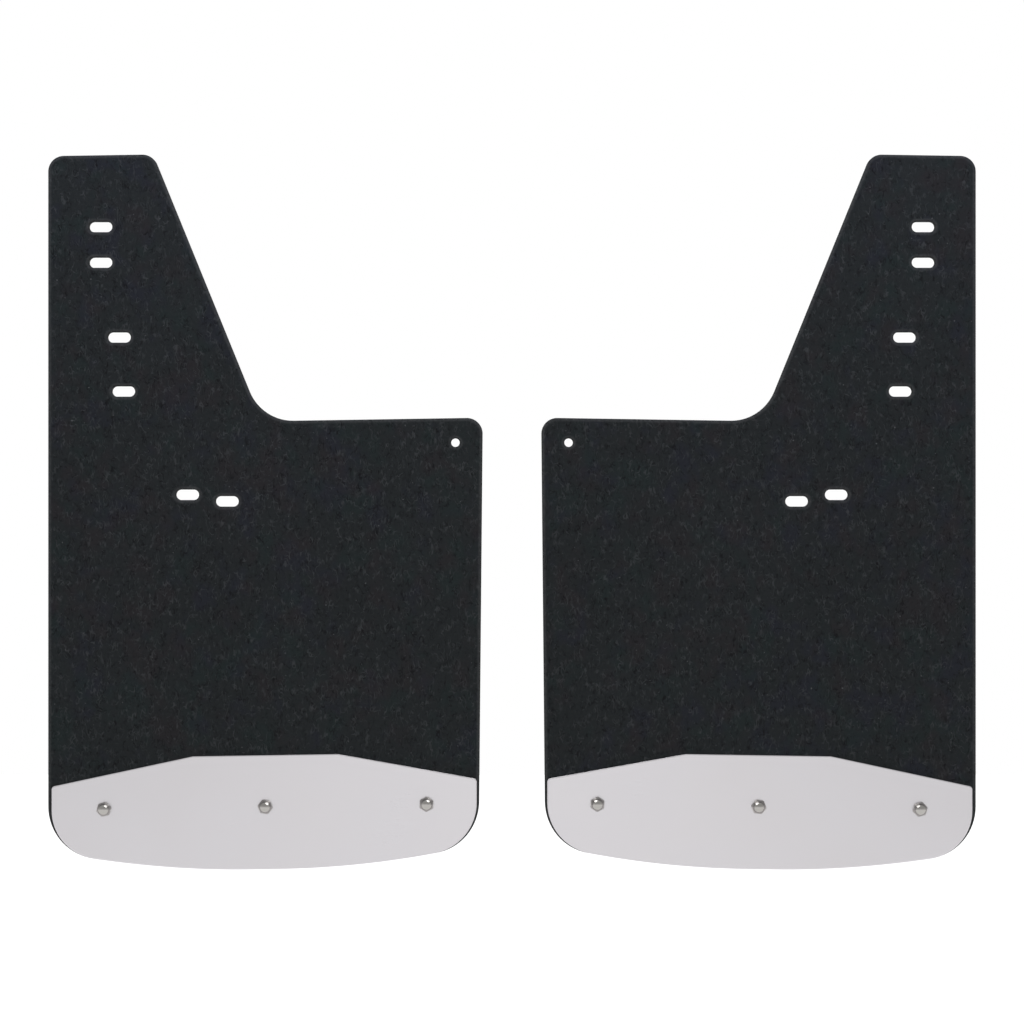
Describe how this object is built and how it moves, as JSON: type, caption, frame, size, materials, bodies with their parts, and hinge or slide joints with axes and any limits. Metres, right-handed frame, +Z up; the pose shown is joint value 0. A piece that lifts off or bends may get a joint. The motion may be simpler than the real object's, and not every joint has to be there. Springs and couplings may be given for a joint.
{
  "type": "mud flap pair",
  "caption": "Pair of black rubber truck mud flaps with slotted mounting tabs and steel weight plates held by cap nuts along the hem.",
  "frame": {"origin": "midway between the flaps, on their back faces, at the centre of the four upper slots", "axes": "+X across the truck from the left flap to the right one, +Y towards the truck's front, +Z up; the plates face -Y"},
  "size_m": [0.6506, 0.0248, 0.5014],
  "materials": {
    "rubber": "matt, fine fibrous grain",
    "plate_steel": "fine satin stainless",
    "nut_steel": "polished stainless",
    "plated_steel": "zinc plated"
  },
  "bodies": {
    "mounted_sheets": {"left_upper_sheet": "rubber", "right_upper_sheet": "rubber"},
    "left_hem": {"left_lower_sheet": "rubber", "left_steel_plate": "plate_steel", "left_cap_nut_1": "nut_steel", "left_cap_nut_2": "nut_steel", "left_cap_nut_3": "nut_steel", "left_screw_1": "plated_steel", "left_screw_2": "plated_steel", "left_screw_3": "plated_steel", "left_washer_1": "plated_steel", "left_washer_2": "plated_steel", "left_washer_3": "plated_steel"},
    "right_hem": {"right_lower_sheet": "rubber", "right_steel_plate": "plate_steel", "right_cap_nut_1": "nut_steel", "right_cap_nut_2": "nut_steel", "right_cap_nut_3": "nut_steel", "right_screw_1": "plated_steel", "right_screw_2": "plated_steel", "right_screw_3": "plated_steel", "right_washer_1": "plated_steel", "right_washer_2": "plated_steel", "right_washer_3": "plated_steel"}
  },
  "joints": [
    {"name": "left_flex", "type": "hinge", "parent": "mounted_sheets", "child": "left_hem", "pos_m": [-0.1729, -0.00475, -0.2122], "axis": [-1, 0, 0], "range_deg": [-20, 45], "stiffness_Nm_per_rad": 1.7},
    {"name": "right_flex", "type": "hinge", "parent": "mounted_sheets", "child": "right_hem", "pos_m": [0.1729, -0.00475, -0.2122], "axis": [-1, 0, 0], "range_deg": [-20, 45], "stiffness_Nm_per_rad": 1.7}
  ]
}
